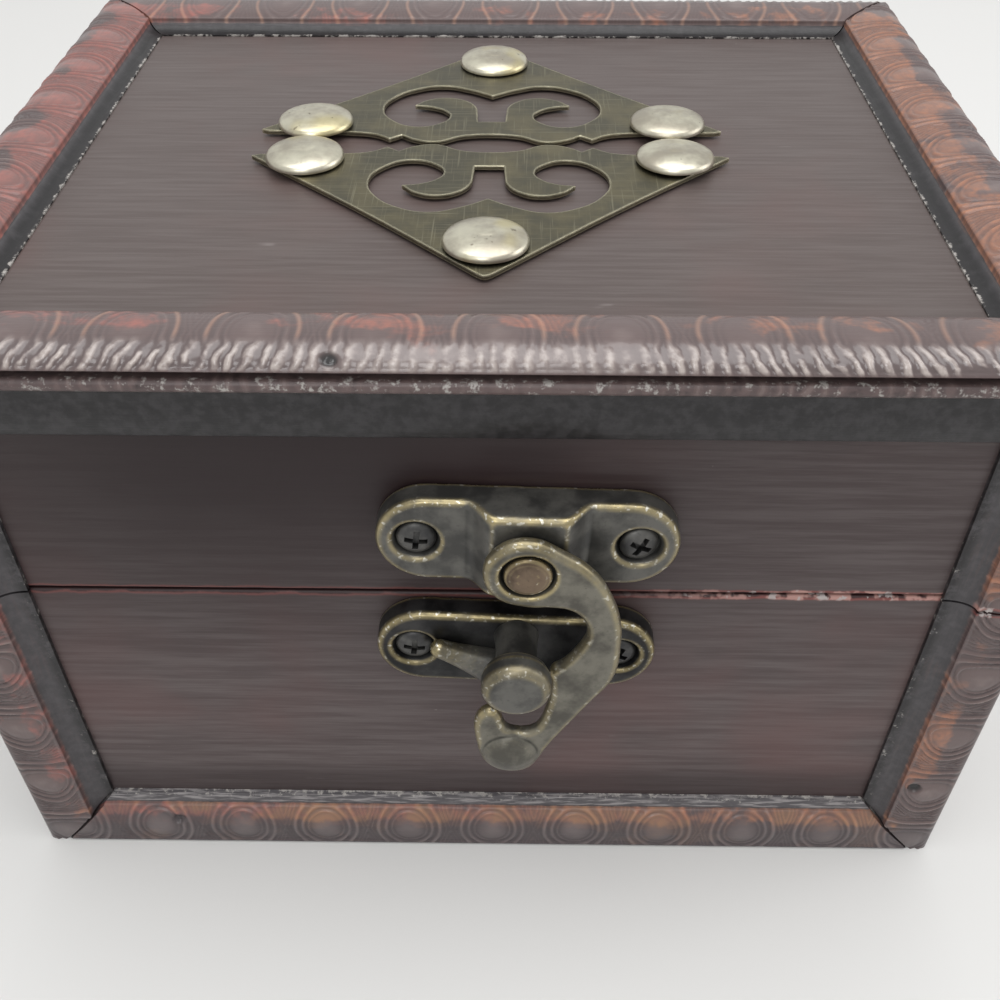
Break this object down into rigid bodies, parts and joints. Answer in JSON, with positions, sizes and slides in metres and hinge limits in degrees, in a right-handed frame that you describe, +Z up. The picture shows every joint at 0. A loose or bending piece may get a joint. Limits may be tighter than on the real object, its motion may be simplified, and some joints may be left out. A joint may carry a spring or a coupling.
{
  "type": "wooden jewelry box",
  "caption": "Small wooden keepsake box with a hinged lid, moulded edges, scrollwork lid plates and a swinging hook latch.",
  "frame": {"origin": "middle of the flat underside of the floor panel, on the surface that the box stands on", "axes": "+Z up, -Y towards the front with the latch, +X to the right as seen from the front"},
  "size_m": [0.1236, 0.1162, 0.08],
  "materials": {
    "mahogany_stain": "dark red-brown stain under a thin satin lacquer, fine straight grain",
    "worn_moulding": "pressed ornament, near-black glaze rubbed through to red and orange on the high places",
    "bare_wood": "unfinished board",
    "felt": "matte felt",
    "pressed_bronze": "thin pressed plate, antiqued dark with bright rubbed edges",
    "cast_bronze": "cast, antiqued dark with brass showing on the worn edges",
    "pale_brass": "pale brushed brass, slightly tarnished"
  },
  "bodies": {
    "base": {"base_back_wall": "mahogany_stain", "base_corner_back_left": "worn_moulding", "base_corner_back_right": "worn_moulding", "base_corner_front_left": "worn_moulding", "base_corner_front_right": "worn_moulding", "base_front_wall": "mahogany_stain", "base_left_wall": "mahogany_stain", "base_right_wall": "mahogany_stain", "felt_liner": "felt", "floor_panel": "bare_wood", "foot_trim_back": "worn_moulding", "foot_trim_front": "worn_moulding", "foot_trim_left": "worn_moulding", "foot_trim_right": "worn_moulding", "hinge_left_base_leaf": "cast_bronze", "hinge_left_base_screw_left": "cast_bronze", "hinge_left_base_screw_right": "cast_bronze", "hinge_left_pin": "cast_bronze", "hinge_right_base_leaf": "cast_bronze", "hinge_right_base_screw_left": "cast_bronze", "hinge_right_base_screw_right": "cast_bronze", "hinge_right_pin": "cast_bronze", "latch_catch_plate": "cast_bronze", "latch_screw_lower_left": "cast_bronze", "latch_screw_lower_right": "cast_bronze"},
    "lid": {"hinge_left_lid_leaf": "cast_bronze", "hinge_left_lid_screw_left": "cast_bronze", "hinge_left_lid_screw_right": "cast_bronze", "hinge_right_lid_leaf": "cast_bronze", "hinge_right_lid_screw_left": "cast_bronze", "hinge_right_lid_screw_right": "cast_bronze", "hook_rivet": "cast_bronze", "latch_hook_plate": "cast_bronze", "latch_screw_upper_left": "cast_bronze", "latch_screw_upper_right": "cast_bronze", "lid_back_rail": "mahogany_stain", "lid_corner_back_left": "worn_moulding", "lid_corner_back_right": "worn_moulding", "lid_corner_front_left": "worn_moulding", "lid_corner_front_right": "worn_moulding", "lid_frame_back": "worn_moulding", "lid_frame_front": "worn_moulding", "lid_frame_left": "worn_moulding", "lid_frame_right": "worn_moulding", "lid_front_rail": "mahogany_stain", "lid_left_rail": "mahogany_stain", "lid_right_rail": "mahogany_stain", "lid_top_panel": "mahogany_stain", "scroll_plate_front": "pressed_bronze", "scroll_plate_rear": "pressed_bronze", "tack_front_apex": "pale_brass", "tack_front_left": "pale_brass", "tack_front_right": "pale_brass", "tack_rear_apex": "pale_brass", "tack_rear_left": "pale_brass", "tack_rear_right": "pale_brass"},
    "hook": {"latch_hook": "cast_bronze"}
  },
  "joints": [
    {"name": "lid_hinge", "type": "hinge", "parent": "base", "child": "lid", "pos_m": [0, 0.0517, 0.0476], "axis": [-1, 0, 0], "range_deg": [0, 100]},
    {"name": "hook_pivot", "type": "hinge", "parent": "lid", "child": "hook", "pos_m": [0.00475, -0.0543, 0.0576], "axis": [0, -1, 0], "range_deg": [0, 150]}
  ]
}
